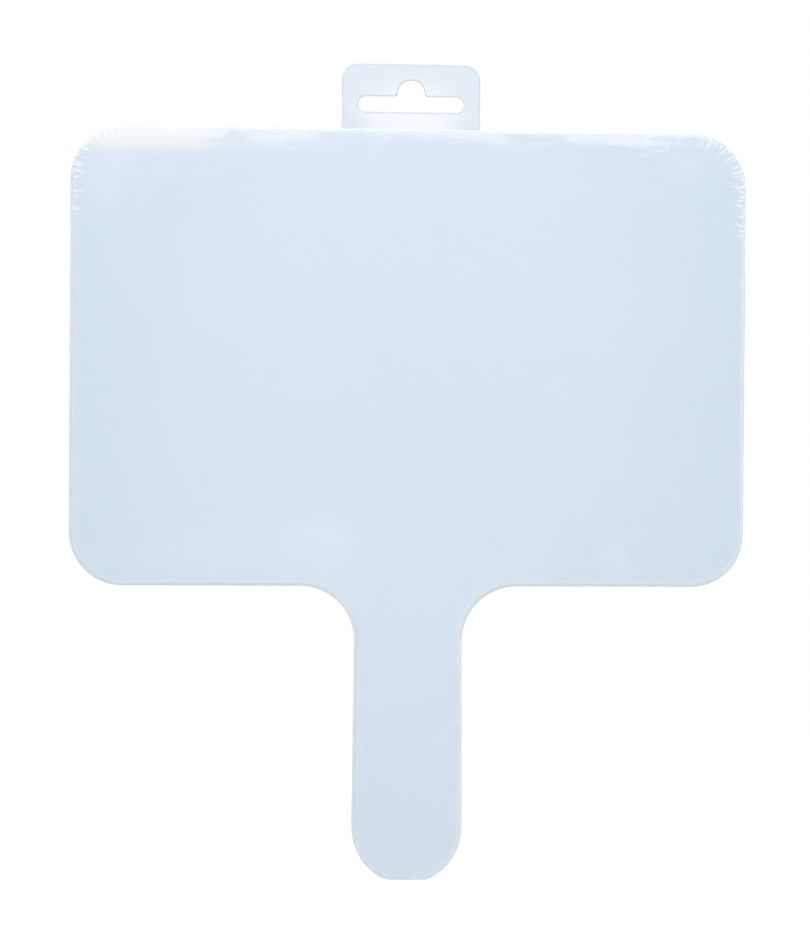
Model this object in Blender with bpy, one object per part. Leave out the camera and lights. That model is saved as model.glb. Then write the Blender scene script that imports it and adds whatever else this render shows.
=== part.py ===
"""Shrink-wrapped dry-erase paddle: a die-cut laminated board with a handle, in clear film, on a hang tab.

The pack hangs upright with its front towards -Y. The origin is where a display peg bears: the top of
the tab's euro slot, halfway through the tab. Every piece is drawn flat, x to the right and y up, with
z towards the viewer, and the hang point turns the whole stack upright.
"""

from math import acos, cos, pi, radians, sin

import bmesh
import bpy

# Board outline
BLADE_WIDTH = 0.2030
BLADE_HEIGHT = 0.1366
BLADE_CORNER_RADIUS = 0.0153
NECK_RADIUS = 0.0173
HANDLE_WIDTH = 0.0312
HANDLE_SWELL = 0.0009  # how much wider the handle is at its round end
HANDLE_LENGTH = 0.0891
HANDLE_END_TRIM = 0.0011  # how much of the round end is cut off flat

# Board layers
CORE_THICKNESS = 0.0025
SHEET_THICKNESS = 0.0003
GLUE_LINE = 0.00005

# Shrink film
FILM_THICKNESS = 0.00008
FILM_SLACK = 0.00005  # air between the film and the writing sheets
FILM_STANDOFF = 0.0006  # how far the film bows out round the board's square edge
VENT_DIAMETER = 0.003
VENT_SPACING = 0.120
VENT_RISE = 0.030  # vents above the blade's bottom edge

# Hang tab
TAB_WIDTH = 0.0420
TAB_HEIGHT = 0.0420
TAB_THICKNESS = 0.0004
TAB_CORNER_RADIUS = 0.0050
TAB_LAP = 0.0220  # how far the tab runs down behind the wrapped blade

# Euro slot
SLOT_WIDTH = 0.0320
SLOT_HEIGHT = 0.0096
SLOT_BAR_HEIGHT = 0.0047
SLOT_ARCH_WIDTH = 0.0082
SLOT_ARCH_FILLET = 0.0008
SLOT_TOP_MARGIN = 0.0049  # plastic left above the slot

# Adhesive pad
PAD_THICKNESS = 0.00015
PAD_MARGIN = 0.0020  # bare tab round the pad, and bare film above it
PAD_CORNER_RADIUS = 0.0030
BOND_GAP = 0.00005

# Fineness of round stretches
ARC_STEP = radians(6)
SWELL_STEPS = 6
VENT_SIDES = 16
FILM_EDGE_RESOLUTION = 2
WELD_DISTANCE = 1e-6
SHARP_ANGLE = radians(35)

# Heights, measured from the peg contact
TAB_TOP = SLOT_TOP_MARGIN
TAB_BOTTOM = TAB_TOP - TAB_HEIGHT
FILM_TOP = TAB_BOTTOM + TAB_LAP
BLADE_TOP = FILM_TOP - FILM_STANDOFF - FILM_THICKNESS
BLADE_BOTTOM = BLADE_TOP - BLADE_HEIGHT
HANDLE_END = BLADE_BOTTOM - HANDLE_LENGTH
SLOT_BAR_TOP = SLOT_BAR_HEIGHT - SLOT_HEIGHT

# Depths, from the middle of the tab forwards
PAD_DEPTH = TAB_THICKNESS / 2 + BOND_GAP + PAD_THICKNESS / 2
FILM_BACK = PAD_DEPTH + PAD_THICKNESS / 2 + BOND_GAP
BOARD_THICKNESS = CORE_THICKNESS + 2 * (GLUE_LINE + SHEET_THICKNESS)
FILM_INNER_HALF = BOARD_THICKNESS / 2 + FILM_SLACK
FILM_OUTER_HALF = FILM_INNER_HALF + FILM_THICKNESS
BOARD_DEPTH = FILM_BACK + FILM_OUTER_HALF
SHEET_OFFSET = CORE_THICKNESS / 2 + GLUE_LINE + SHEET_THICKNESS / 2


def arc(centre_x, centre_y, radius, start, end, rise=None):
    """Points along an arc, both ends included, angles in radians. A rise makes it part of an ellipse."""
    steps = max(2, round(abs(end - start) / ARC_STEP))
    angles = [start + (end - start) * step / steps for step in range(steps + 1)]
    return [(centre_x + radius * cos(a), centre_y + (rise or radius) * sin(a)) for a in angles]


def mirrored(right_half):
    """A closed outline from its right half, which runs from the top down to the bottom."""
    return right_half + [(-x, y) for x, y in reversed(right_half)]


def right_corners(width, top, bottom, radius):
    """The rounded right-hand side of a rectangle about the centre line."""
    x = width / 2 - radius
    upper = arc(x, top - radius, radius, pi / 2, 0)
    return upper + arc(x, bottom + radius, radius, 0, -pi / 2)


def paddle_outline():
    """Rounded blade, concave necks, and a handle that swells a little towards its trimmed round end."""
    right_half = right_corners(BLADE_WIDTH, BLADE_TOP, BLADE_BOTTOM, BLADE_CORNER_RADIUS)
    # The blade's edge runs straight into the neck's second point, so no four corners lie in one line.
    neck_y = BLADE_BOTTOM - NECK_RADIUS
    right_half += arc(HANDLE_WIDTH / 2 + NECK_RADIUS, neck_y, NECK_RADIUS, pi / 2, pi)[1:]
    end_radius = (HANDLE_WIDTH + HANDLE_SWELL) / 2
    end_y = HANDLE_END + end_radius - HANDLE_END_TRIM
    for step in range(1, SWELL_STEPS):
        share = step / SWELL_STEPS
        swell = HANDLE_SWELL / 2 * share * share * (3 - 2 * share)
        right_half.append((HANDLE_WIDTH / 2 + swell, neck_y + (end_y - neck_y) * share))
    flat_angle = acos(1 - HANDLE_END_TRIM / end_radius)
    right_half += arc(0, end_y, end_radius, 0, flat_angle - pi / 2)
    return mirrored(right_half)


def euro_slot_outline():
    """A round-ended bar with a filleted arch over its middle, for a flat hook or a single round peg."""
    fillet = SLOT_ARCH_FILLET
    arch_half = SLOT_ARCH_WIDTH / 2
    arch_foot = SLOT_BAR_TOP + fillet
    end_radius = SLOT_BAR_HEIGHT / 2
    right_half = arc(0, arch_foot, arch_half, pi / 2, 0, rise=-arch_foot)[1:-1]
    right_half += arc(arch_half + fillet, arch_foot, fillet, pi, 3 * pi / 2)
    right_half += arc(SLOT_WIDTH / 2 - end_radius, SLOT_BAR_TOP - end_radius, end_radius, pi / 2, -pi / 2)
    return mirrored(right_half)


def new_collection(name):
    collection = bpy.data.collections.new(name)
    bpy.context.scene.collection.children.link(collection)
    return collection


def place(name, data, collection, depth):
    thing = bpy.data.objects.new(name, data)
    collection.objects.link(thing)
    thing.parent = hang_point
    thing.location.z = depth
    return thing


def flat_piece(name, outlines, depth, half_flat, edge_radius=0.0):
    """A sheet of even thickness. A second outline is a hole, and an edge radius bows the rim outwards."""
    curve = bpy.data.curves.new(name, "CURVE")
    curve.dimensions = "2D"
    curve.fill_mode = "BOTH"
    curve.extrude = half_flat
    curve.bevel_depth = edge_radius
    curve.bevel_resolution = FILM_EDGE_RESOLUTION
    for outline in outlines:
        spline = curve.splines.new("POLY")
        spline.points.add(len(outline) - 1)
        for point, (x, y) in zip(spline.points, outline):
            point.co = (x, y, 0, 1)
        spline.use_cyclic_u = True
    return place(name, curve, parts, depth)


def as_mesh(piece, collection):
    """The same piece as one welded mesh, so that it can be cut or used to cut."""
    bpy.context.view_layer.update()
    evaluated = piece.evaluated_get(bpy.context.evaluated_depsgraph_get())
    mesh = bpy.data.meshes.new_from_object(evaluated)
    work = bmesh.new()
    work.from_mesh(mesh)
    bmesh.ops.remove_doubles(work, verts=work.verts, dist=WELD_DISTANCE)
    work.to_mesh(mesh)
    work.free()
    mesh.shade_smooth()
    mesh.set_sharp_from_angle(angle=SHARP_ANGLE)
    name, depth = piece.name, piece.location.z
    bpy.data.objects.remove(piece)
    return place(name, mesh, collection, depth)


def combine(piece, tool, operation):
    """Adds a cutting or joining tool to a piece, as a live Boolean."""
    tool.hide_render = True
    tool.display_type = "WIRE"
    boolean = piece.modifiers.new(tool.name, "BOOLEAN")
    boolean.operation = operation
    boolean.object = tool


def finish(piece, name, colour, roughness, alpha=1.0):
    material = bpy.data.materials.new(name)
    material.use_nodes = True
    shader = material.node_tree.nodes["Principled BSDF"]
    shader.inputs["Base Color"].default_value = (*colour, 1)
    shader.inputs["Roughness"].default_value = roughness
    shader.inputs["Alpha"].default_value = alpha
    piece.data.materials.clear()
    piece.data.materials.append(material)


def make_core_board():
    core = flat_piece("core_board", [paddle_outline()], BOARD_DEPTH, CORE_THICKNESS / 2)
    finish(core, "greyboard", (0.46, 0.44, 0.40), 0.9)


def make_writing_sheet(name, side):
    depth = BOARD_DEPTH + side * SHEET_OFFSET
    sheet = flat_piece(name, [paddle_outline()], depth, SHEET_THICKNESS / 2)
    finish(sheet, name + "_white", (0.69, 0.78, 0.87), 0.2)


def make_film_vents():
    """Two short pins through the film's back, where the air leaves as the film shrinks."""
    pins = bmesh.new()
    for side in (-1, 1):
        pin = bmesh.ops.create_cone(
            pins,
            cap_ends=True,
            segments=VENT_SIDES,
            radius1=VENT_DIAMETER / 2,
            radius2=VENT_DIAMETER / 2,
            depth=BOARD_THICKNESS / 2,
        )
        centre = (side * VENT_SPACING / 2, BLADE_BOTTOM + VENT_RISE, 0)
        bmesh.ops.translate(pins, verts=pin["verts"], vec=centre)
    mesh = bpy.data.meshes.new("film_vents")
    pins.to_mesh(mesh)
    pins.free()
    return place("film_vents", mesh, cutters, FILM_BACK)


def make_shrink_film():
    """One thin bag round the whole board, its rim bowed out past the board's square edge."""
    outline = [paddle_outline()]
    rim = FILM_STANDOFF + FILM_THICKNESS
    film = flat_piece("shrink_film", outline, BOARD_DEPTH, FILM_OUTER_HALF - rim, rim)
    film = as_mesh(film, parts)
    inside = flat_piece("film_inside", outline, BOARD_DEPTH, FILM_INNER_HALF - FILM_STANDOFF, FILM_STANDOFF)
    inside = as_mesh(inside, cutters)
    combine(inside, make_film_vents(), "UNION")
    combine(film, inside, "DIFFERENCE")
    finish(film, "clear_shrink_film", (0.92, 0.95, 0.98), 0.1, alpha=0.2)


def make_hang_tab():
    outline = mirrored(right_corners(TAB_WIDTH, TAB_TOP, TAB_BOTTOM, TAB_CORNER_RADIUS))
    tab = flat_piece("hang_tab", [outline, euro_slot_outline()], 0, TAB_THICKNESS / 2)
    finish(tab, "clear_tab_plastic", (0.88, 0.92, 0.95), 0.15, alpha=0.4)


def make_tab_adhesive_pad():
    """Fills the lap between tab and film, short of every edge by the pad's margin."""
    width = TAB_WIDTH - 2 * PAD_MARGIN
    top, bottom = FILM_TOP - PAD_MARGIN, TAB_BOTTOM + PAD_MARGIN
    outline = mirrored(right_corners(width, top, bottom, PAD_CORNER_RADIUS))
    pad = flat_piece("tab_adhesive_pad", [outline], PAD_DEPTH, PAD_THICKNESS / 2)
    finish(pad, "clear_adhesive", (0.90, 0.92, 0.92), 0.3, alpha=0.5)


for old in list(bpy.data.objects):
    bpy.data.objects.remove(old)
parts = new_collection("dry_erase_paddle")
cutters = new_collection("cutters")
hang_point = bpy.data.objects.new("hang_point", None)
hang_point.rotation_euler.x = pi / 2
parts.objects.link(hang_point)

make_core_board()
make_writing_sheet("front_writing_sheet", 1)
make_writing_sheet("back_writing_sheet", -1)
make_shrink_film()
make_hang_tab()
make_tab_adhesive_pad()
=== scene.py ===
import math

import bmesh
import bpy
from mathutils import Matrix, Vector
from mathutils.geometry import delaunay_2d_cdt
from mathutils.kdtree import KDTree


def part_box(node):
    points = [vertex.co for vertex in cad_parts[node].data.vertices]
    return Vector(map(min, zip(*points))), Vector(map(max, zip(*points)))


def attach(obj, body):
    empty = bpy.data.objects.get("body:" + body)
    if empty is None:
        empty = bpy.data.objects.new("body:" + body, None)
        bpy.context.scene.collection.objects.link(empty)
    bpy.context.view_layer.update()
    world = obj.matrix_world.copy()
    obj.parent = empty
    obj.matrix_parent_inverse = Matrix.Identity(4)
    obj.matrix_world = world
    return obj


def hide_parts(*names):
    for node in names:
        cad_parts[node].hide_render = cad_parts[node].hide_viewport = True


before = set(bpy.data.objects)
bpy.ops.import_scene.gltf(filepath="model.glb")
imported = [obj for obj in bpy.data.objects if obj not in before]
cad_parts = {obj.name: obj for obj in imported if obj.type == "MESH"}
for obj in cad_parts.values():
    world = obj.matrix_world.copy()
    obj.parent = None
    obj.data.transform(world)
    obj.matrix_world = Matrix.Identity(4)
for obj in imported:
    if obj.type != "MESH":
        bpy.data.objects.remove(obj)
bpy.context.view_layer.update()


# Core board: the die-cut paddle of pressed greyboard, a blade and a handle in one flat sheet.
# Every other layer is cut to it or wrapped round it, so the outline that they share is drawn here.

MM = 0.001
CORNER_RADIUS = 15.3 * MM
NECK_RADIUS = 17.3 * MM
BLADE_HEIGHT = 136.6 * MM
NECK_HALF_WIDTH = 15.6 * MM
END_RADIUS = 16.05 * MM
END_TRIM = 1.1 * MM
CORE_EASE = 0.25 * MM
COARSE = 1.6 * MM
FINE = 0.3 * MM
GATHER_REACH_DOWN = 20 * MM
GATHER_REACH_IN = 10 * MM


def straight(start, stop, normal, spacing):
    """Points of a straight run of an outline, short of its end, each with its outward direction."""
    count = max(1, round(math.dist(start, stop) / spacing))
    run = []
    for step in range(count):
        share = step / count
        x = start[0] + (stop[0] - start[0]) * share
        z = start[1] + (stop[1] - start[1]) * share
        run.append((x, z, *normal))
    return run


def curved(centre, radius, first, last, spacing, outward=1, rise=None):
    """Points of an arc, short of its end. Outward is -1 in a hollow corner; a rise makes it an ellipse."""
    count = max(4, round(radius * abs(last - first) / spacing))
    run = []
    for step in range(count):
        angle = first + (last - first) * step / count
        x = centre[0] + radius * math.cos(angle)
        z = centre[1] + (rise or radius) * math.sin(angle)
        run.append((x, z, outward * math.cos(angle), outward * math.sin(angle)))
    return run


def mirrored(right_half, low_end):
    """A closed outline from its right half, which starts on the centre line and stops short of low_end."""
    last = (*low_end, 0.0, -1.0)
    return right_half + [last] + [(-x, z, -nx, nz) for x, z, nx, nz in reversed(right_half[1:])]


def paddle_edge(low, high):
    """The paddle's outline from the top centre clockwise, finest at the corners where the film gathers."""
    half, top, end = high.x, high.z, low.z
    foot = top - BLADE_HEIGHT
    corner_x = half - CORNER_RADIUS
    corner_z = top - CORNER_RADIUS
    gather_x = corner_x - GATHER_REACH_IN
    gather_z = corner_z - GATHER_REACH_DOWN
    neck_z = foot - NECK_RADIUS
    neck_x = NECK_HALF_WIDTH + NECK_RADIUS
    end_z = end - END_TRIM + END_RADIUS
    flat_angle = math.acos(1 - END_TRIM / END_RADIUS) - math.pi / 2
    flat_x = END_RADIUS * math.cos(flat_angle)
    right = straight((0, top), (gather_x, top), (0, 1), COARSE)
    right += straight((gather_x, top), (corner_x, top), (0, 1), FINE)
    right += curved((corner_x, corner_z), CORNER_RADIUS, math.pi / 2, 0, FINE)
    right += straight((half, corner_z), (half, gather_z), (1, 0), FINE)
    right += straight((half, gather_z), (half, foot + CORNER_RADIUS), (1, 0), COARSE)
    right += curved((corner_x, foot + CORNER_RADIUS), CORNER_RADIUS, 0, -math.pi / 2, COARSE / 2)
    right += straight((corner_x, foot), (neck_x, foot), (0, -1), COARSE)
    right += curved((neck_x, neck_z), NECK_RADIUS, math.pi / 2, math.pi, COARSE / 2, outward=-1)
    for x, z, nx, nz in straight((NECK_HALF_WIDTH, neck_z), (NECK_HALF_WIDTH, end_z), (1, 0), COARSE):
        share = (neck_z - z) / (neck_z - end_z)
        swell = (END_RADIUS - NECK_HALF_WIDTH) * share * share * (3 - 2 * share)
        right.append((x + swell, z, nx, nz))
    right += curved((0, end_z), END_RADIUS, 0, flat_angle, COARSE / 2)
    for x, z, nx, nz in straight((flat_x, end), (0, end), (0, -1), COARSE):
        reach = math.hypot(x, z - end_z)
        right.append((x, z, x / reach, (z - end_z) / reach))
    return mirrored(right, (0.0, end))


def eased_profile(front, back, ease, grow=0.0, steps=3, reach=None):
    """(growth, depth) pairs across an edge, from the front face round both eased corners to the back.
    The easing is round unless it has its own reach over the face."""
    reach = reach or ease
    turns = [math.pi / 2 * step / steps for step in range(steps + 1)]
    near = [(grow - reach + reach * math.sin(turn), front + ease - ease * math.cos(turn)) for turn in turns]
    far = [(growth, front + back - depth) for growth, depth in reversed(near)]
    return near + far


def wrap(work, edge, profile):
    """Rings of points round an outline, one for each pair of a profile, joined by quads."""
    rings = []
    for growth, y in profile:
        rings.append([work.verts.new((x + nx * growth, y, z + nz * growth)) for x, z, nx, nz in edge])
    for near, far in zip(rings, rings[1:]):
        for here in range(len(edge)):
            there = (here + 1) % len(edge)
            work.faces.new((near[here], near[there], far[there], far[here]))
    return rings


def cap(work, ring, turned):
    """One flat face on a ring, with a crisp border so that it shades flat. Turned faces the back."""
    face = work.faces.new(ring if turned else ring[::-1])
    for side in face.edges:
        side.smooth = False
    return face


def new_piece(name, work, finish):
    """Makes a finished mesh a piece of the object, smooth but for its crisp edges."""
    mesh = bpy.data.meshes.new(name)
    work.to_mesh(mesh)
    work.free()
    for polygon in mesh.polygons:
        polygon.use_smooth = True
    mesh.materials.append(finish)
    piece = bpy.data.objects.new(name, mesh)
    bpy.context.scene.collection.objects.link(piece)
    return piece


def linear(hex_colour):
    """A linear RGBA colour from an sRGB hex value such as A1B2C3."""
    parts = [int(hex_colour[at:at + 2], 16) / 255 for at in (0, 2, 4)]
    return (*[part / 12.92 if part <= 0.04045 else ((part + 0.055) / 1.055) ** 2.4 for part in parts], 1.0)


def add(tree, kind, inputs, **settings):
    """Adds one node with its settings. An input is a value, or a socket that feeds it."""
    made = tree.nodes.new(kind)
    for name, value in settings.items():
        setattr(made, name, value)
    for name, value in inputs.items():
        if isinstance(value, bpy.types.NodeSocket):
            tree.links.new(value, made.inputs[name])
        else:
            made.inputs[name].default_value = value
    return made


def new_finish(name):
    """An empty node material and its tree."""
    finish = bpy.data.materials.new(name)
    finish.use_nodes = True
    finish.node_tree.nodes.clear()
    return finish, finish.node_tree


# Pressed greyboard: waste-paper pulp in thin plies, so its cut edge is dull, grey and streaky,
# with pale and dark fibres lying along the plies and a faint fuzz from the die.
greyboard, tree = new_finish("pressed_greyboard")
PLY = 0.35 * MM
FIBRE = 1.2 * MM
SPECK = 0.5 * MM
SPECK_FROM = 0.62
SPECK_FULL = 0.7
FUZZ_HEIGHT = 0.15 * MM
place = add(tree, "ShaderNodeTexCoord", {}).outputs["Object"]
along_ply = add(tree, "ShaderNodeMapping", {"Vector": place, "Scale": (1 / FIBRE, 1 / PLY, 1 / FIBRE)})
pulp = add(tree, "ShaderNodeTexNoise", {"Vector": along_ply.outputs[0], "Scale": 1.0, "Detail": 6.0})
specks = add(tree, "ShaderNodeTexNoise", {"Vector": place, "Scale": 1 / SPECK, "Detail": 2.0})
pulp_colour = add(tree, "ShaderNodeValToRGB", {"Fac": pulp.outputs["Fac"]})
pulp_colour.color_ramp.elements[0].position = 0.3
pulp_colour.color_ramp.elements[0].color = linear("86868D")
pulp_colour.color_ramp.elements[1].position = 0.7
pulp_colour.color_ramp.elements[1].color = linear("B5B6BE")
speck_mask = add(
    tree,
    "ShaderNodeMapRange",
    {"Value": specks.outputs["Fac"], "From Min": SPECK_FROM, "From Max": SPECK_FULL},
)
speckled = add(
    tree,
    "ShaderNodeMix",
    {"Factor": speck_mask.outputs[0], 6: pulp_colour.outputs["Color"], 7: linear("6A6A70")},
    data_type="RGBA",
)
fuzz = add(
    tree,
    "ShaderNodeBump",
    {"Height": pulp.outputs["Fac"], "Strength": 0.5, "Distance": FUZZ_HEIGHT},
)
board_shader = add(
    tree,
    "ShaderNodeBsdfPrincipled",
    {"Base Color": speckled.outputs[2], "Roughness": 0.9, "Normal": fuzz.outputs[0]},
)
add(tree, "ShaderNodeOutputMaterial", {"Surface": board_shader.outputs[0]})

core_low, core_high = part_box("core_board")
board_edge = paddle_edge(core_low, core_high)
work = bmesh.new()
core_rings = wrap(work, board_edge, eased_profile(core_low.y, core_high.y, CORE_EASE))
cap(work, core_rings[0], turned=False)
cap(work, core_rings[-1], turned=True)
core = new_piece("core_greyboard", work, greyboard)
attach(core, "root")
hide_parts("core_board")


# Writing sheets: gloss-coated white card laminated to both faces of the core and cut with it.
# The dry-erase coating is roller-applied, so the white is cool and even with a soft wide sheen.

SHEET_EASE = 0.12 * MM
COATING_DRIFT = 55 * MM
COATING_MIDDLE = (0, 0, -80 * MM)
COATING_REACH = (108 * MM, 1.0, 170 * MM)
COATING_UNEVEN = 0.4
COATING_LIGHTEST = 0.6
COATING_DARKEST = 1.2
COATING_PEEL = 2.2 * MM
PEEL_HEIGHT = 0.02 * MM
SHEEN_SMOOTH = 0.45
SHEEN_ROUGH = 0.55
writing_face, tree = new_finish("dry_erase_coated_card")
place = add(tree, "ShaderNodeTexCoord", {}).outputs["Object"]
drift = add(
    tree, "ShaderNodeTexNoise", {"Vector": place, "Scale": 1 / COATING_DRIFT, "Detail": 2.0}
).outputs["Fac"]
# The white is a touch darker away from the middle of the blade, towards its sides and the handle end, with
# a little random drift.
spread = add(
    tree,
    "ShaderNodeMapping",
    {"Vector": place, "Location": COATING_MIDDLE, "Scale": COATING_REACH},
    vector_type="TEXTURE",
).outputs[0]
spread = add(tree, "ShaderNodeVectorMath", {0: spread}, operation="LENGTH").outputs["Value"]
off_middle = add(
    tree, "ShaderNodeMath", {0: drift, 1: COATING_UNEVEN, 2: spread}, operation="MULTIPLY_ADD"
).outputs[0]
darker_share = add(
    tree,
    "ShaderNodeMapRange",
    {"Value": off_middle, "From Min": COATING_LIGHTEST, "From Max": COATING_DARKEST},
    interpolation_type="SMOOTHSTEP",
).outputs[0]
coat_white = add(
    tree,
    "ShaderNodeMix",
    {"Factor": darker_share, 6: linear("DCE9F3"), 7: linear("D6E5EF")},
    data_type="RGBA",
)
peel = add(tree, "ShaderNodeTexNoise", {"Vector": place, "Scale": 1 / COATING_PEEL, "Detail": 1.0})
peel_bump = add(
    tree,
    "ShaderNodeBump",
    {"Height": peel.outputs["Fac"], "Strength": 0.15, "Distance": PEEL_HEIGHT},
)
sheen = add(
    tree,
    "ShaderNodeMapRange",
    {"Value": peel.outputs["Fac"], "To Min": SHEEN_SMOOTH, "To Max": SHEEN_ROUGH},
)
card_shader = add(
    tree,
    "ShaderNodeBsdfPrincipled",
    {"Base Color": coat_white.outputs[2], "Roughness": sheen.outputs[0], "Normal": peel_bump.outputs[0]},
)
add(tree, "ShaderNodeOutputMaterial", {"Surface": card_shader.outputs[0]})

for node in ("front_writing_sheet", "back_writing_sheet"):
    sheet_low, sheet_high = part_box(node)
    work = bmesh.new()
    sheet_rings = wrap(work, board_edge, eased_profile(sheet_low.y, sheet_high.y, SHEET_EASE))
    cap(work, sheet_rings[0], turned=False)
    cap(work, sheet_rings[-1], turned=True)
    sheet = new_piece("coated_" + node, work, writing_face)
    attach(sheet, "root")
    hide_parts(node)


# Shrink film: a bag of clear polyolefin, sealed round the board and shrunk tight in a heat tunnel.
# It bows past the square edge, gathers into small pleats at the top corners and lifts along the top.

film_low, film_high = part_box("shrink_film")
FILM_WALL = 0.08 * MM
FILM_RIM = film_high.x - core_high.x
FILM_INSETS = [inset * MM for inset in (12, 10, 8.4, 7, 5.8, 4.7, 3.7, 2.8, 2, 1.3, 0.7, 0.3)]
FILM_INTERIOR = 20 * MM
FILM_GRID = 5 * MM
VENT_RADIUS = 1.5 * MM
VENT_HALF_SPACING = 60 * MM
VENT_RISE = 30 * MM
VENT_STEP = 0.4 * MM
VENT_LIP = (
    (1.2 * MM, 0.0),
    (0.7 * MM, 0.03 * MM),
    (0.35 * MM, 0.11 * MM),
    (0.1 * MM, 0.11 * MM),
    (0.0, 0.05 * MM),
)
MERGE_WITHIN = 1e-7
HEAD_ON_MIRROR = 0.04
MILK_ROUGHNESS = 0.4


def fill(work, rings, spacing, turned):
    """A flat face of even triangles inside the first ring and outside the others. Turned faces the back."""
    border = [vert for ring in rings for vert in ring]
    flat = [Vector((vert.co.x, vert.co.z)) for vert in border]
    outlines = []
    first = 0
    for ring in rings:
        outlines.append(list(range(first, first + len(ring))))
        first += len(ring)
    near = KDTree(len(flat))
    for at, point in enumerate(flat):
        near.insert((*point, 0), at)
    near.balance()
    low = [min(point[axis] for point in flat) for axis in (0, 1)]
    high = [max(point[axis] for point in flat) for axis in (0, 1)]
    columns, rows = [round((high[axis] - low[axis]) / spacing) for axis in (0, 1)]
    for column in range(1, columns):
        for row in range(1, rows):
            spot = Vector((low[0] + column * spacing, low[1] + row * spacing))
            if near.find((*spot, 0))[2] > spacing / 2:
                flat.append(spot)
    points, _, faces, origins, _, _ = delaunay_2d_cdt(flat, [], outlines, 2, MERGE_WITHIN)
    y = border[0].co.y
    made = {}
    for face in faces:
        for at in face:
            if at not in made:
                known = [origin for origin in origins[at] if origin < len(border)]
                made[at] = border[known[0]] if known else work.verts.new((points[at].x, y, points[at].y))
        corners = [made[at] for at in face]
        work.faces.new(corners[::-1] if turned else corners)


def clear_plastic(name, roughness):
    """Clear sheet that mirrors by angle, by Schlick's rule, and the sockets for the rest of its look.
    The light that it takes is scattered onwards, so neither its tint nor its milk casts a shadow."""
    white = linear("FFFFFF")
    finish, tree = new_finish(name)
    facing = add(tree, "ShaderNodeLayerWeight", {"Blend": 0.5}).outputs["Facing"]
    slant = add(tree, "ShaderNodeMath", {0: facing, 1: 5.0}, operation="POWER").outputs[0]
    mirror = add(tree, "ShaderNodeMapRange", {"Value": slant, "To Min": HEAD_ON_MIRROR}).outputs[0]
    shadow = add(tree, "ShaderNodeLightPath", {}).outputs["Is Shadow Ray"]
    tinted = add(tree, "ShaderNodeMix", {"Factor": shadow, 6: white, 7: white}, data_type="RGBA")
    through = add(tree, "ShaderNodeBsdfTransparent", {"Color": tinted.outputs[2]})
    shine = add(tree, "ShaderNodeBsdfAnisotropic", {"Color": white, "Roughness": roughness})
    clear = add(tree, "ShaderNodeMixShader", {0: mirror, 1: through.outputs[0], 2: shine.outputs[0]})
    cloudy = add(tree, "ShaderNodeBsdfPrincipled", {"Base Color": white, "Roughness": MILK_ROUGHNESS})
    lit = add(tree, "ShaderNodeMath", {0: 1.0, 1: shadow}, operation="SUBTRACT").outputs[0]
    shown = add(tree, "ShaderNodeMath", {0: 0.0, 1: lit}, operation="MULTIPLY")
    both = add(
        tree, "ShaderNodeMixShader", {0: shown.outputs[0], 1: clear.outputs[0], 2: cloudy.outputs[0]}
    )
    add(tree, "ShaderNodeOutputMaterial", {"Surface": both.outputs[0]})
    looks = {"tint": tinted.inputs[6], "haze": shown.inputs[0]}
    looks |= {"milk": cloudy.inputs["Base Color"], "normal": shine.inputs["Normal"]}
    return finish, tree, looks


# Polyolefin film: glass clear on the flats, with thin mirror-like glints. Where it has shrunk most,
# at the rim and in the pleats, it turns milky white. Along the top on the left it stands off the board,
# and the milky band there is also a painted highlight of the key light's glare. Its bent rim is painted
# lighter on the sides that face the light and painted shade underneath.
SLACK_GLARE_FULL = 5.0 * MM
SLACK_GLARE_DEPTH = 8.6 * MM
# How milky the slack is along the top, where the milk is also a painted highlight of the glare:
# a place across the board in mm, and the level there.
SLACK_GLARE_LEVELS = (
    (-100, 0.05),
    (-92, 0.7),
    (-64, 0.66),
    (-57, 0.19),
    (-24, 0.12),
    (-16, 0.02),
    (70, 0.01),
    (95, 0.0),
)
SLACK_GLARE_GREY = 0.3
EDGE_LINE = 1.8 * MM
EDGE_LINE_LEVEL = 0.12
GATHER_MILK = 0.42
RIM_MILK = 1.7
RIM_MILK_LEAST = 0.015
RIM_MILK_TURN = 1.12
RIM_LIGHT_FROM = (-0.25, 0.0, 0.97)
RIM_DARK = -0.9
RIM_LIT = 0.0
WRINKLE = 1.8 * MM
WRINKLE_HEIGHT = 0.06 * MM
WRINKLE_PATCH = 18 * MM
PATCH_FROM = 0.4
PATCH_FULL = 0.65
WRINKLE_DEPTH = 30 * MM
POCKET_EDGE = 1.5
# Air pockets: the middle across and up, half the width and height in mm, and how milky each one is.
POCKETS = (
    (-92, -29, 10, 12, 0.13),
    (-76, -22.5, 26, 5, 0.12),
    (84, -25, 10, 7, 0.07),
    (-27, -140, 14, 12, 0.10),
    (-64, -143, 26, 8, 0.06),
    (62, -144, 6, 7, 0.08),
)
shrink_film, tree, film_look = clear_plastic("polyolefin_shrink_film", 0.07)
film_look["tint"].default_value = linear("FEFEFF")
place = add(tree, "ShaderNodeTexCoord", {}).outputs["Object"]
axes = add(tree, "ShaderNodeSeparateXYZ", {0: place}).outputs
rim = add(tree, "ShaderNodeAttribute", {}, attribute_name="rim").outputs["Fac"]
gather = add(tree, "ShaderNodeAttribute", {}, attribute_name="gather").outputs["Fac"]
inset = add(tree, "ShaderNodeAttribute", {}, attribute_name="inset").outputs["Fac"]
front = add(
    tree, "ShaderNodeMapRange", {"Value": axes["Y"], "From Min": core_high.y, "From Max": core_low.y}
).outputs[0]
depth = add(tree, "ShaderNodeMath", {0: film_high.z, 1: axes["Z"]}, operation="SUBTRACT").outputs[0]
across = add(
    tree, "ShaderNodeMapRange", {"Value": axes["X"], "From Min": film_low.x, "From Max": film_high.x}
).outputs[0]
slack_glare_level = add(tree, "ShaderNodeValToRGB", {"Fac": across})
slack_glare_stops = slack_glare_level.color_ramp.elements
while len(slack_glare_stops) < len(SLACK_GLARE_LEVELS):
    slack_glare_stops.new(0.5)
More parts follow.
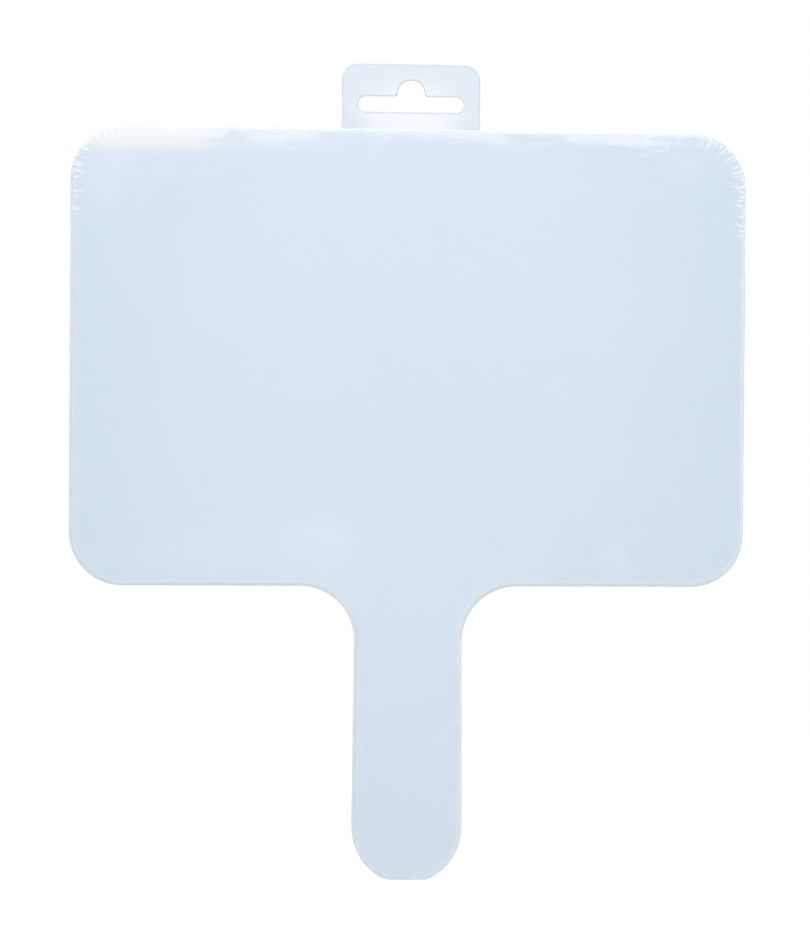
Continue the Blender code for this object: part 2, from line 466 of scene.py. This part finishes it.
for stop, (x, level) in zip(slack_glare_stops, SLACK_GLARE_LEVELS):
    stop.position = (x * MM - film_low.x) / (film_high.x - film_low.x)
    stop.color = (level, level, level, 1.0)
# The painted glare is strongest at the top edge and fades out a few millimetres down.
slack_glare_fade = add(
    tree,
    "ShaderNodeMapRange",
    {"Value": depth, "From Min": SLACK_GLARE_FULL, "From Max": SLACK_GLARE_DEPTH, "To Min": 1.0, "To Max": 0.0},
    interpolation_type="SMOOTHSTEP",
).outputs[0]
slack_painted_glare_milk = add(
    tree, "ShaderNodeMath", {0: slack_glare_level.outputs[0], 1: slack_glare_fade}, operation="MULTIPLY"
).outputs[0]
wrinkle_fade = add(
    tree,
    "ShaderNodeMapRange",
    {"Value": depth, "From Max": WRINKLE_DEPTH, "To Min": 1.0, "To Max": 0.0},
    interpolation_type="SMOOTHSTEP",
).outputs[0]
patches = add(
    tree, "ShaderNodeTexNoise", {"Vector": place, "Scale": 1 / WRINKLE_PATCH, "Detail": 1.0}
).outputs["Fac"]
patch_level = add(
    tree, "ShaderNodeMapRange", {"Value": patches, "From Min": PATCH_FROM, "From Max": PATCH_FULL}
).outputs[0]
wrinkle_height = add(
    tree, "ShaderNodeTexNoise", {"Vector": place, "Scale": 1 / WRINKLE, "Detail": 2.0}
).outputs["Fac"]
wrinkle_level = add(
    tree, "ShaderNodeMath", {0: patch_level, 1: wrinkle_fade}, operation="MULTIPLY"
).outputs[0]
wrinkle_height = add(
    tree, "ShaderNodeMath", {0: wrinkle_height, 1: wrinkle_level}, operation="MULTIPLY"
).outputs[0]
wrinkle_bump = add(
    tree, "ShaderNodeBump", {"Height": wrinkle_height, "Strength": 1.0, "Distance": WRINKLE_HEIGHT}
).outputs[0]
edge_line = add(
    tree,
    "ShaderNodeMapRange",
    {"Value": inset, "From Max": EDGE_LINE, "To Min": EDGE_LINE_LEVEL, "To Max": 0.0},
    interpolation_type="SMOOTHSTEP",
).outputs[0]
white_milk = add(tree, "ShaderNodeMath", {0: slack_painted_glare_milk, 1: edge_line}, operation="ADD").outputs[0]
for x, z, half_width, half_height, cloud in POCKETS:
    local = add(
        tree,
        "ShaderNodeMapping",
        {
            "Vector": place,
            "Location": (x * MM, 0, z * MM),
            "Scale": (half_width * MM, 1.0, half_height * MM),
        },
        vector_type="TEXTURE",
    ).outputs[0]
    local = add(tree, "ShaderNodeVectorMath", {0: local, 1: (1, 0, 1)}, operation="MULTIPLY").outputs[0]
    from_middle = add(tree, "ShaderNodeVectorMath", {0: local}, operation="LENGTH").outputs["Value"]
    pocket = add(
        tree,
        "ShaderNodeMapRange",
        {"Value": from_middle, "From Max": POCKET_EDGE, "To Min": cloud, "To Max": 0.0},
        interpolation_type="SMOOTHSTEP",
    ).outputs[0]
    white_milk = add(tree, "ShaderNodeMath", {0: white_milk, 1: pocket}, operation="ADD").outputs[0]
front_milk = add(tree, "ShaderNodeMath", {0: white_milk, 1: front}, operation="MULTIPLY").outputs[0]
gather_milk = add(
    tree, "ShaderNodeMath", {0: gather, 1: GATHER_MILK, 2: front_milk}, operation="MULTIPLY_ADD"
).outputs[0]
off_wall = add(tree, "ShaderNodeMath", {0: RIM_MILK_TURN, 1: rim}, operation="SUBTRACT").outputs[0]
bend = add(tree, "ShaderNodeMath", {0: rim, 1: off_wall}, operation="MULTIPLY").outputs[0]
rim_milk = add(
    tree, "ShaderNodeMath", {0: bend, 1: RIM_MILK, 2: RIM_MILK_LEAST}, operation="MULTIPLY_ADD"
).outputs[0]
all_milk = add(
    tree, "ShaderNodeMath", {0: gather_milk, 1: rim_milk}, operation="ADD", use_clamp=True
).outputs[0]
# Where the painted glare is, the milk is also painted a touch greyer.
slack_glare_grey = add(tree, "ShaderNodeMath", {0: slack_painted_glare_milk, 1: SLACK_GLARE_GREY}, operation="MULTIPLY").outputs[0]
flat_white = add(
    tree,
    "ShaderNodeMix",
    {"Factor": slack_glare_grey, 6: linear("F7FAFD"), 7: linear("E7EDF2")},
    data_type="RGBA",
).outputs[2]
# The bent rim's milk is painted by the way it faces: painted light where it faces up towards the light, and
# painted shade, a darker grey, where it faces down and away.
normal = add(tree, "ShaderNodeNewGeometry", {}).outputs["Normal"]
upward = add(
    tree, "ShaderNodeVectorMath", {0: normal, 1: RIM_LIGHT_FROM}, operation="DOT_PRODUCT"
).outputs["Value"]
painted_lit_share = add(
    tree, "ShaderNodeMapRange", {"Value": upward, "From Min": RIM_DARK, "From Max": RIM_LIT}
).outputs[0]
bend_painted_shade = add(
    tree,
    "ShaderNodeMix",
    {"Factor": painted_lit_share, 6: linear("B8BFC8"), 7: linear("F0F4F8")},
    data_type="RGBA",
).outputs[2]
# The film's milk colour: its own white on the flats, and the painted light and shade on the bent rim.
milk_and_painted_shade = add(
    tree, "ShaderNodeMix", {"Factor": rim, 6: flat_white, 7: bend_painted_shade}, data_type="RGBA"
).outputs[2]
tree.links.new(all_milk, film_look["haze"])
tree.links.new(milk_and_painted_shade, film_look["milk"])
tree.links.new(wrinkle_bump, film_look["normal"])

work = bmesh.new()
inset_of = work.verts.layers.float.new("inset")
run_of = work.verts.layers.float.new("run")
rim_of = work.verts.layers.float.new("rim")
film_profile = [(-inset, film_low.y) for inset in FILM_INSETS]
film_profile += eased_profile(film_low.y, film_high.y, FILM_RIM, grow=FILM_RIM, steps=5)
film_profile += [(-inset, film_high.y) for inset in reversed(FILM_INSETS)]
film_rings = wrap(work, board_edge, film_profile)
vents = []
vent_z = core_high.z - BLADE_HEIGHT + VENT_RISE
for side in (-1, 1):
    vent_edge = curved((side * VENT_HALF_SPACING, vent_z), VENT_RADIUS, 0, -2 * math.pi, VENT_STEP)
    vent_rings = wrap(work, vent_edge, [(width, film_high.y + rise) for width, rise in VENT_LIP])
    for here, there in zip(vent_rings[-1], vent_rings[-1][1:] + vent_rings[-1][:1]):
        work.edges.get((here, there)).smooth = False
    vents.append(vent_rings[0])
fill(work, film_rings[:1], FILM_GRID, turned=False)
fill(work, [film_rings[-1]] + vents, FILM_GRID, turned=True)
for vert in work.verts:
    vert[inset_of] = FILM_INTERIOR
travelled = 0.0
previous = board_edge[0]
runs = []
for point in board_edge:
    travelled += math.dist(previous[:2], point[:2])
    runs.append(travelled)
    previous = point
for (growth, y), ring in zip(film_profile, film_rings):
    for vert, run in zip(ring, runs):
        vert[inset_of] = max(0.0, -growth)
        vert[run_of] = run
        vert[rim_of] = max(0.0, growth / FILM_RIM)
film = new_piece("shrink_film_bag", work, shrink_film)

# The pleats are a rule on the film: one crease for each cell along the rim, of its own height and length,
# fading inwards over the face, and only round the two top corners. The same tree lets the film stand
# off along the top on the left, up to one small fold, and ripple faintly near its edges.
pleats = bpy.data.node_groups.new("film_pleats", "GeometryNodeTree")
pleats.is_modifier = True
film_sizes = {
    "Pleat spacing": 1.5 * MM,
    "Pleat width": 0.45 * MM,
    "Pleat height": 0.28 * MM,
    "Pleats missing": 0.25,
    "Shortest pleat": 1.5 * MM,
    "Longest pleat": 4.2 * MM,
    "Pleats below": film_high.z - 33 * MM,
    "Pleats above": film_high.z - 24 * MM,
    "Pleats lean": 0.027,
    "Pleats inside": 80 * MM,
    "Pleats outside": 96 * MM,
    "Slack start": -99 * MM,
    "Slack full": -89 * MM,
    "Slack foot": film_high.z - 9 * MM,
    "Slack top": film_high.z - 1 * MM,
    "Slack lift": 0.15 * MM,
    "Slack swell": 0.2 * MM,
    "Swell start": 0.3 * MM,
    "Swell full": 3 * MM,
    "Slack run-out": 8 * MM,
    "Fold side": -54 * MM,
    "Fold width": 0.7 * MM,
    "Fold height": 0.5 * MM,
    "Ripple length": 11 * MM,
    "Ripple height": 0.14 * MM,
    "Ripple full": 3 * MM,
    "Ripple end": FILM_INSETS[0],
    "Rim give": 0.2,
    "Seed": 11.0,
}
pleats.interface.new_socket("Film", in_out="INPUT", socket_type="NodeSocketGeometry")
size_sockets = {}
for name in film_sizes:
    size_sockets[name] = pleats.interface.new_socket(name, in_out="INPUT", socket_type="NodeSocketFloat")
finish_socket = pleats.interface.new_socket("Finish", in_out="INPUT", socket_type="NodeSocketMaterial")
pleats.interface.new_socket("Film", in_out="OUTPUT", socket_type="NodeSocketGeometry")
given = add(pleats, "NodeGroupInput", {}).outputs
run = add(pleats, "GeometryNodeInputNamedAttribute", {"Name": "run"}, data_type="FLOAT").outputs[0]
inset = add(pleats, "GeometryNodeInputNamedAttribute", {"Name": "inset"}, data_type="FLOAT").outputs[0]
rim = add(pleats, "GeometryNodeInputNamedAttribute", {"Name": "rim"}, data_type="FLOAT").outputs[0]
position = add(pleats, "GeometryNodeInputPosition", {}).outputs[0]
axes = add(pleats, "ShaderNodeSeparateXYZ", {0: position}).outputs
side = add(pleats, "ShaderNodeMath", {0: axes["X"]}, operation="ABSOLUTE").outputs[0]

cells = add(pleats, "ShaderNodeMath", {0: run, 1: given["Pleat spacing"]}, operation="DIVIDE").outputs[0]
seeded = add(pleats, "ShaderNodeMath", {0: cells, 1: given["Seed"]}, operation="ADD").outputs[0]
crease = add(pleats, "ShaderNodeTexVoronoi", {"W": seeded, "Scale": 1.0}, voronoi_dimensions="1D")
chance = add(pleats, "FunctionNodeSeparateColor", {0: crease.outputs["Color"]}).outputs
apart = add(
    pleats,
    "ShaderNodeMath",
    {0: crease.outputs["Distance"], 1: given["Pleat spacing"]},
    operation="MULTIPLY",
).outputs[0]
reach = add(
    pleats,
    "ShaderNodeMapRange",
    {"Value": chance[1], "To Min": given["Shortest pleat"], "To Max": given["Longest pleat"]},
).outputs[0]
ridge = add(
    pleats,
    "ShaderNodeMapRange",
    {"Value": apart, "From Max": given["Pleat width"], "To Min": 1.0, "To Max": 0.0},
    interpolation_type="SMOOTHSTEP",
).outputs[0]
fade = add(
    pleats,
    "ShaderNodeMapRange",
    {"Value": inset, "From Max": reach, "To Min": 1.0, "To Max": 0.0},
    interpolation_type="SMOOTHSTEP",
).outputs[0]
leaning = add(
    pleats,
    "ShaderNodeMath",
    {0: axes["X"], 1: given["Pleats lean"], 2: axes["Z"]},
    operation="MULTIPLY_ADD",
).outputs[0]
high_enough = add(
    pleats,
    "ShaderNodeMapRange",
    {"Value": leaning, "From Min": given["Pleats below"], "From Max": given["Pleats above"]},
    interpolation_type="SMOOTHSTEP",
).outputs[0]
far_enough = add(
    pleats,
    "ShaderNodeMapRange",
    {"Value": side, "From Min": given["Pleats inside"], "From Max": given["Pleats outside"]},
    interpolation_type="SMOOTHSTEP",
).outputs[0]
strength = add(
    pleats, "ShaderNodeMapRange", {"Value": chance[0], "From Min": given["Pleats missing"]}
).outputs[0]
pleat = ridge
for part in (fade, high_enough, far_enough, strength):
    pleat = add(pleats, "ShaderNodeMath", {0: pleat, 1: part}, operation="MULTIPLY").outputs[0]
held_rim = add(
    pleats, "ShaderNodeMapRange", {"Value": rim, "To Min": 1.0, "To Max": given["Rim give"]}
).outputs[0]
pleat_lift = pleat
for part in (given["Pleat height"], held_rim):
    pleat_lift = add(pleats, "ShaderNodeMath", {0: pleat_lift, 1: part}, operation="MULTIPLY").outputs[0]

slack = add(
    pleats,
    "ShaderNodeMapRange",
    {"Value": axes["X"], "From Min": given["Slack start"], "From Max": given["Slack full"]},
    interpolation_type="SMOOTHSTEP",
).outputs[0]
last_full = add(
    pleats, "ShaderNodeMath", {0: given["Fold side"], 1: given["Slack run-out"]}, operation="SUBTRACT"
).outputs[0]
slack_stop = add(
    pleats,
    "ShaderNodeMapRange",
    {
        "Value": axes["X"],
        "From Min": last_full,
        "From Max": given["Fold side"],
        "To Min": 1.0,
        "To Max": 0.0,
    },
    interpolation_type="SMOOTHSTEP",
).outputs[0]
near_top = add(
    pleats,
    "ShaderNodeMapRange",
    {"Value": axes["Z"], "From Min": given["Slack foot"], "From Max": given["Slack top"]},
    interpolation_type="SMOOTHSTEP",
).outputs[0]
for part in (slack_stop, near_top):
    slack = add(pleats, "ShaderNodeMath", {0: slack, 1: part}, operation="MULTIPLY").outputs[0]
slack_rise = add(
    pleats, "ShaderNodeMath", {0: slack, 1: given["Slack lift"]}, operation="MULTIPLY"
).outputs[0]
swell_lift = add(
    pleats,
    "ShaderNodeMapRange",
    {"Value": inset, "From Min": given["Swell start"], "From Max": given["Swell full"]},
    interpolation_type="SMOOTHSTEP",
).outputs[0]
for part in (slack, given["Slack swell"]):
    swell_lift = add(pleats, "ShaderNodeMath", {0: swell_lift, 1: part}, operation="MULTIPLY").outputs[0]

from_fold = add(
    pleats, "ShaderNodeMath", {0: axes["X"], 1: given["Fold side"]}, operation="SUBTRACT"
).outputs[0]
from_fold = add(pleats, "ShaderNodeMath", {0: from_fold}, operation="ABSOLUTE").outputs[0]
fold_lift = add(
    pleats,
    "ShaderNodeMapRange",
    {"Value": from_fold, "From Max": given["Fold width"], "To Min": 1.0, "To Max": 0.0},
    interpolation_type="SMOOTHSTEP",
).outputs[0]
for part in (near_top, given["Fold height"]):
    fold_lift = add(pleats, "ShaderNodeMath", {0: fold_lift, 1: part}, operation="MULTIPLY").outputs[0]

ripple_scale = add(
    pleats, "ShaderNodeMath", {0: 1.0, 1: given["Ripple length"]}, operation="DIVIDE"
).outputs[0]
ripple = add(
    pleats, "ShaderNodeTexNoise", {"Vector": position, "Scale": ripple_scale, "Detail": 1.0}
).outputs[0]
loose = add(
    pleats,
    "ShaderNodeMapRange",
    {
        "Value": inset,
        "From Min": given["Ripple full"],
        "From Max": given["Ripple end"],
        "To Min": 1.0,
        "To Max": 0.0,
    },
    interpolation_type="SMOOTHSTEP",
).outputs[0]
for part in (loose, held_rim, given["Ripple height"]):
    ripple = add(pleats, "ShaderNodeMath", {0: ripple, 1: part}, operation="MULTIPLY").outputs[0]

lift = ripple
for part in (pleat_lift, swell_lift, fold_lift):
    lift = add(pleats, "ShaderNodeMath", {0: lift, 1: part}, operation="ADD").outputs[0]
normal = add(pleats, "GeometryNodeInputNormal", {}).outputs[0]
outward = add(pleats, "ShaderNodeVectorMath", {0: normal, "Scale": lift}, operation="SCALE").outputs[0]
upward = add(pleats, "ShaderNodeCombineXYZ", {"Z": slack_rise}).outputs[0]
offset = add(pleats, "ShaderNodeVectorMath", {0: outward, 1: upward}, operation="ADD").outputs[0]
marked = add(
    pleats,
    "GeometryNodeStoreNamedAttribute",
    {"Geometry": given["Film"], "Name": "gather", "Value": pleat},
    data_type="FLOAT",
    domain="POINT",
).outputs[0]
moved = add(pleats, "GeometryNodeSetPosition", {"Geometry": marked, "Offset": offset}).outputs[0]
whole = add(pleats, "GeometryNodeRealizeInstances", {"Geometry": moved}).outputs[0]
dressed = add(
    pleats, "GeometryNodeSetMaterial", {"Geometry": whole, "Material": given["Finish"]}
).outputs[0]
add(pleats, "NodeGroupOutput", {0: dressed})
gathers = film.modifiers.new("pleats", "NODES")
gathers.node_group = pleats
for name, value in film_sizes.items():
    gathers[size_sockets[name].identifier] = value
gathers[finish_socket.identifier] = shrink_film
wall = film.modifiers.new("wall", "SOLIDIFY")
wall.thickness = FILM_WALL
wall.offset = -1.0
bpy.context.view_layer.update()
shaped = bpy.data.meshes.new_from_object(film.evaluated_get(bpy.context.evaluated_depsgraph_get()))
film.modifiers.clear()
film.data = shaped
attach(film, "root")
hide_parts("shrink_film")


# Adhesive pad: a patch of acrylic tape that bonds the tab to the back of the film.
# It was pressed on by hand, so trapped air shows through the clear tab as small pale bubbles.

BUBBLE = 1.6 * MM
BUBBLE_CORE = 0.08
BUBBLE_HEIGHT = 0.05 * MM
TAPE_FLOW = 7 * MM
TRAPPED_AIR = 0.6
WETTED_ROUGHNESS = 0.25
BUBBLE_ROUGHNESS = 0.6
tape, tree = new_finish("milky_acrylic_tape")
place = add(tree, "ShaderNodeTexCoord", {}).outputs["Object"]
flow = add(
    tree, "ShaderNodeTexNoise", {"Vector": place, "Scale": 1 / TAPE_FLOW, "Detail": 2.0}
).outputs["Fac"]
bubbles = add(tree, "ShaderNodeTexVoronoi", {"Vector": place, "Scale": 1 / BUBBLE}).outputs["Distance"]
trapped = add(tree, "ShaderNodeMath", {0: flow, 1: TRAPPED_AIR}, operation="MULTIPLY").outputs[0]
bubble_share = add(
    tree,
    "ShaderNodeMapRange",
    {"Value": bubbles, "From Min": BUBBLE_CORE, "From Max": trapped, "To Min": 1.0, "To Max": 0.0},
    interpolation_type="SMOOTHSTEP",
).outputs[0]
tape_colour = add(
    tree,
    "ShaderNodeMix",
    {"Factor": bubble_share, 6: linear("F5F8FA"), 7: linear("FFFFFF")},
    data_type="RGBA",
).outputs[2]
wetted = add(
    tree,
    "ShaderNodeMapRange",
    {"Value": bubble_share, "To Min": WETTED_ROUGHNESS, "To Max": BUBBLE_ROUGHNESS},
).outputs[0]
tape_bump = add(
    tree, "ShaderNodeBump", {"Height": bubble_share, "Strength": 0.3, "Distance": BUBBLE_HEIGHT}
).outputs[0]
tape_shader = add(
    tree, "ShaderNodeBsdfPrincipled", {"Base Color": tape_colour, "Roughness": wetted, "Normal": tape_bump}
)
add(tree, "ShaderNodeOutputMaterial", {"Surface": tape_shader.outputs[0]})
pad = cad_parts["tab_adhesive_pad"]
pad.data.materials.clear()
pad.data.materials.append(tape)


# Hang tab: clear PET sheet, die-cut with a euro slot so that the pack hangs on a flat or round peg.
# The cut edge is eased, and its colour is painted light on the sides that face up and painted shade
# underneath.

TAB_RADIUS = 5.0 * MM
TAB_EASE = 0.19 * MM
DIE_ROLL = 0.45 * MM
SLOT_HALF = 16.0 * MM
SLOT_HEIGHT = 9.6 * MM
SLOT_BAR = 4.7 * MM
ARCH_HALF = 4.1 * MM
ARCH_FILLET = 0.8 * MM
TAB_STEP = 0.4 * MM
TAB_GRID = 3 * MM

# PET sheet: clear with a cool cast through its thickness, and a painted highlight that makes it paler
# and milkier round the punched slot.
SLOT_HIGHLIGHT_MIDDLE = (0.0, 0.0, -12 * MM)
SLOT_HIGHLIGHT_REACH = (17 * MM, 1.0, 12 * MM)
SLOT_HIGHLIGHT_CLOUD = 9 * MM
SLOT_HIGHLIGHT_UNEVEN = 0.4
SLOT_HIGHLIGHT_FULL = 0.5
SLOT_HIGHLIGHT_END = 1.5
CLEAR_HAZE = 0.03
SLOT_HIGHLIGHT_HAZE = 0.1
pet_sheet, tree, sheet_look = clear_plastic("clear_PET_sheet", 0.1)
sheet_look["milk"].default_value = linear("FAFCFE")
place = add(tree, "ShaderNodeTexCoord", {}).outputs["Object"]
round_slot = add(
    tree,
    "ShaderNodeMapping",
    {"Vector": place, "Location": SLOT_HIGHLIGHT_MIDDLE, "Scale": SLOT_HIGHLIGHT_REACH},
    vector_type="TEXTURE",
).outputs[0]
round_slot = add(
    tree, "ShaderNodeVectorMath", {0: round_slot, 1: (1, 0, 1)}, operation="MULTIPLY"
).outputs[0]
from_slot = add(tree, "ShaderNodeVectorMath", {0: round_slot}, operation="LENGTH").outputs["Value"]
cloud = add(
    tree, "ShaderNodeTexNoise", {"Vector": place, "Scale": 1 / SLOT_HIGHLIGHT_CLOUD, "Detail": 2.0}
).outputs["Fac"]
uneven = add(
    tree, "ShaderNodeMath", {0: cloud, 1: SLOT_HIGHLIGHT_UNEVEN, 2: from_slot}, operation="MULTIPLY_ADD"
).outputs[0]
# The painted highlight: strongest round the slot, fading outwards with a little noise.
slot_highlight = add(
    tree,
    "ShaderNodeMapRange",
    {"Value": uneven, "From Min": SLOT_HIGHLIGHT_FULL, "From Max": SLOT_HIGHLIGHT_END, "To Min": 1.0, "To Max": 0.0},
    interpolation_type="SMOOTHSTEP",
).outputs[0]
tab_tint = add(
    tree,
    "ShaderNodeMix",
    {"Factor": slot_highlight, 6: linear("E8EDF2"), 7: linear("F4F6FA")},
    data_type="RGBA",
).outputs[2]
tab_haze = add(
    tree, "ShaderNodeMapRange", {"Value": slot_highlight, "To Min": CLEAR_HAZE, "To Max": SLOT_HIGHLIGHT_HAZE}
).outputs[0]
tree.links.new(tab_tint, sheet_look["tint"])
tree.links.new(tab_haze, sheet_look["haze"])

# Die-cut PET edge: frosted by the blade, so it is cloudy with small nicks. Its thin grey line is painted
# shade on the sides that face away from the light, and painted light makes it paler and clearer on the
# sides that face it.
NICK = 1.5 * MM
NICK_HAZE = 0.45
CUT_HAZE = 0.75
LIT_HAZE_SHARE = 0.55
EDGE_LIGHT_FROM = (-0.5, 0.0, 0.87)
EDGE_DARK = -0.9
EDGE_LIT = 0.5
cut_edge, tree, edge_look = clear_plastic("cut_PET_edge", 0.15)
edge_look["tint"].default_value = linear("F3F6F9")
place = add(tree, "ShaderNodeTexCoord", {}).outputs["Object"]
nicks = add(
    tree, "ShaderNodeTexNoise", {"Vector": place, "Scale": 1 / NICK, "Detail": 2.0}
).outputs["Fac"]
nicked = add(
    tree, "ShaderNodeMapRange", {"Value": nicks, "To Min": NICK_HAZE, "To Max": CUT_HAZE}
).outputs[0]
# Painted shade and light: the edge is dark grey and milkier where it faces away from the light above left,
# and pale and clearer where it faces it.
normal = add(tree, "ShaderNodeNewGeometry", {}).outputs["Normal"]
upward = add(
    tree, "ShaderNodeVectorMath", {0: normal, 1: EDGE_LIGHT_FROM}, operation="DOT_PRODUCT"
).outputs["Value"]
painted_lit_share = add(
    tree, "ShaderNodeMapRange", {"Value": upward, "From Min": EDGE_DARK, "From Max": EDGE_LIT}
).outputs[0]
edge_painted_shade = add(
    tree,
    "ShaderNodeMix",
    {"Factor": painted_lit_share, 6: linear("7E8BA0"), 7: linear("F6F9FC")},
    data_type="RGBA",
).outputs[2]
painted_light_clearing = add(
    tree, "ShaderNodeMapRange", {"Value": painted_lit_share, "To Min": 1.0, "To Max": LIT_HAZE_SHARE}
).outputs[0]
edge_milk = add(tree, "ShaderNodeMath", {0: nicked, 1: painted_light_clearing}, operation="MULTIPLY").outputs[0]
tree.links.new(edge_milk, edge_look["haze"])
tree.links.new(edge_painted_shade, edge_look["milk"])

tab_low, tab_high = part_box("hang_tab")
tab_x = tab_high.x - TAB_RADIUS
tab_right = straight((0, tab_high.z), (tab_x, tab_high.z), (0, 1), TAB_STEP)
tab_right += curved((tab_x, tab_high.z - TAB_RADIUS), TAB_RADIUS, math.pi / 2, 0, TAB_STEP)
tab_right += straight(
    (tab_high.x, tab_high.z - TAB_RADIUS), (tab_high.x, tab_low.z + TAB_RADIUS), (1, 0), TAB_STEP
)
tab_right += curved((tab_x, tab_low.z + TAB_RADIUS), TAB_RADIUS, 0, -math.pi / 2, TAB_STEP)
tab_right += straight((tab_x, tab_low.z), (0, tab_low.z), (0, -1), TAB_STEP)
tab_edge = mirrored(tab_right, (0.0, tab_low.z))

bar_top = SLOT_BAR - SLOT_HEIGHT
arch_foot = bar_top + ARCH_FILLET
bar_end = SLOT_BAR / 2
fillet_centre = (ARCH_HALF + ARCH_FILLET, arch_foot)
bar_centre = (SLOT_HALF - bar_end, bar_top - bar_end)
slot_right = curved((0, arch_foot), ARCH_HALF, math.pi / 2, 0, TAB_STEP, rise=-arch_foot)
slot_right += curved(fillet_centre, ARCH_FILLET, math.pi, 1.5 * math.pi, TAB_STEP, outward=-1)
slot_right += straight((fillet_centre[0], bar_top), (bar_centre[0], bar_top), (0, 1), TAB_STEP)
slot_right += curved(bar_centre, bar_end, math.pi / 2, -math.pi / 2, TAB_STEP)
slot_right += straight((bar_centre[0], -SLOT_HEIGHT), (0, -SLOT_HEIGHT), (0, -1), TAB_STEP)
slot_clockwise = mirrored(slot_right, (0.0, -SLOT_HEIGHT))
slot_edge = [(x, z, -nx, -nz) for x, z, nx, nz in reversed(slot_clockwise)]

work = bmesh.new()
tab_profile = eased_profile(tab_low.y, tab_high.y, TAB_EASE, reach=DIE_ROLL)
tab_rings = wrap(work, tab_edge, tab_profile)
slot_rings = wrap(work, slot_edge, tab_profile)
edge_faces = len(work.faces)
fill(work, [tab_rings[0], slot_rings[0]], TAB_GRID, turned=False)
fill(work, [tab_rings[-1], slot_rings[-1]], TAB_GRID, turned=True)
for ring in (tab_rings[0], tab_rings[-1], slot_rings[0], slot_rings[-1]):
    for here, there in zip(ring, ring[1:] + ring[:1]):
        work.edges.get((here, there)).smooth = False
tab = new_piece("hang_tab_sheet", work, pet_sheet)
tab.data.materials.append(cut_edge)
for polygon in tab.data.polygons[:edge_faces]:
    polygon.material_index = 1
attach(tab, "root")
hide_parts("hang_tab")


# Camera: a short telephoto a little to the left of the pack, looking at it almost square on.
# Its place, turn and focal length were fitted to the outline of the pack in the photograph.

CAMERA_AT = (-0.057, -0.8, -0.1068)
CAMERA_YAW = math.radians(4.0)
CAMERA_PITCH = math.radians(-0.8)
CAMERA_ROLL = math.radians(0.42)
SENSOR_WIDTH = 36
FOCAL_PIXELS = 2642
PHOTO_HEIGHT = 940
camera = bpy.data.objects.new("photo_camera", bpy.data.cameras.new("photo_camera"))
bpy.context.scene.collection.objects.link(camera)
camera.data.sensor_width = SENSOR_WIDTH
camera.data.lens = FOCAL_PIXELS * SENSOR_WIDTH / PHOTO_HEIGHT
turn = Matrix.Rotation(-CAMERA_YAW, 4, "Z") @ Matrix.Rotation(math.pi / 2 + CAMERA_PITCH, 4, "X")
camera.matrix_world = Matrix.Translation(CAMERA_AT) @ turn @ Matrix.Rotation(CAMERA_ROLL, 4, "Z")
bpy.context.scene.camera = camera


# Studio: a pale floor below the hanging pack, a white surround and four soft boxes.
# The key box is wide and in front above, so that the film's bowed top edge mirrors it.

FLOOR_DROP = 0.3
FLOOR_HALF = 3.0
FLOOR_GLOW = 0.7
AIM_HEIGHT = -0.115


def seen_by_camera(tree):
    """1 on a ray that shows a surface to the camera, straight, mirrored or through plastic, or else 0."""
    rays = add(tree, "ShaderNodeLightPath", {}).outputs
    seen = rays["Is Camera Ray"]
    for ray in ("Is Glossy Ray", "Is Transmission Ray"):
        seen = add(tree, "ShaderNodeMath", {0: seen, 1: rays[ray]}, operation="MAXIMUM").outputs[0]
    return seen


floor_finish, tree = new_finish("matt_white_floor")
glow = add(tree, "ShaderNodeMath", {0: seen_by_camera(tree), 1: FLOOR_GLOW}, operation="MULTIPLY")
floor_shader = add(
    tree,
    "ShaderNodeBsdfPrincipled",
    {
        "Base Color": linear("E6E6E6"),
        "Roughness": 0.9,
        "Emission Color": linear("FFFFFF"),
        "Emission Strength": glow.outputs[0],
    },
)
add(tree, "ShaderNodeOutputMaterial", {"Surface": floor_shader.outputs[0]})
work = bmesh.new()
bmesh.ops.create_grid(work, x_segments=1, y_segments=1, size=FLOOR_HALF)
bmesh.ops.translate(work, verts=work.verts, vec=(0, 0, film_low.z - FLOOR_DROP))
floor = new_piece("studio_floor", work, floor_finish)

# Each soft box has its place, how far to the side it aims, its width and height, and its watts.
SOFT_BOXES = {
    "key_box": ((-0.2, -1.15, 0.574), -0.1, (1.4, 1.0), 8.6),
    "fill_box": ((1.0, -1.2, 0.25), 0.0, (1.2, 1.2), 2.5),
    "top_box": ((0.0, -0.25, 1.1), 0.0, (0.8, 0.8), 4.5),
    "back_box": ((0.6, 1.3, 0.5), 0.0, (1.0, 1.0), 14.0),
}
for name, (spot, aim_x, (width, height), watts) in SOFT_BOXES.items():
    lamp = bpy.data.lights.new(name, "AREA")
    lamp.shape = "RECTANGLE"
    lamp.size = width
    lamp.size_y = height
    lamp.energy = watts
    box = bpy.data.objects.new(name, lamp)
    bpy.context.scene.collection.objects.link(box)
    box.location = spot
    aim = Vector((aim_x, 0, AIM_HEIGHT))
    box.rotation_euler = (aim - box.location).to_track_quat("-Z", "Y").to_euler()

SURROUND = 0.402
world = bpy.data.worlds.new("white_surround")
bpy.context.scene.world = world
world.use_nodes = True
tree = world.node_tree
tree.nodes.clear()
level = add(tree, "ShaderNodeMapRange", {"Value": seen_by_camera(tree), "To Min": SURROUND})
surround = add(tree, "ShaderNodeBackground", {"Color": linear("FFFFFF"), "Strength": level.outputs[0]})
add(tree, "ShaderNodeOutputWorld", {"Surface": surround.outputs[0]})
bpy.context.scene.view_settings.view_transform = "Standard"
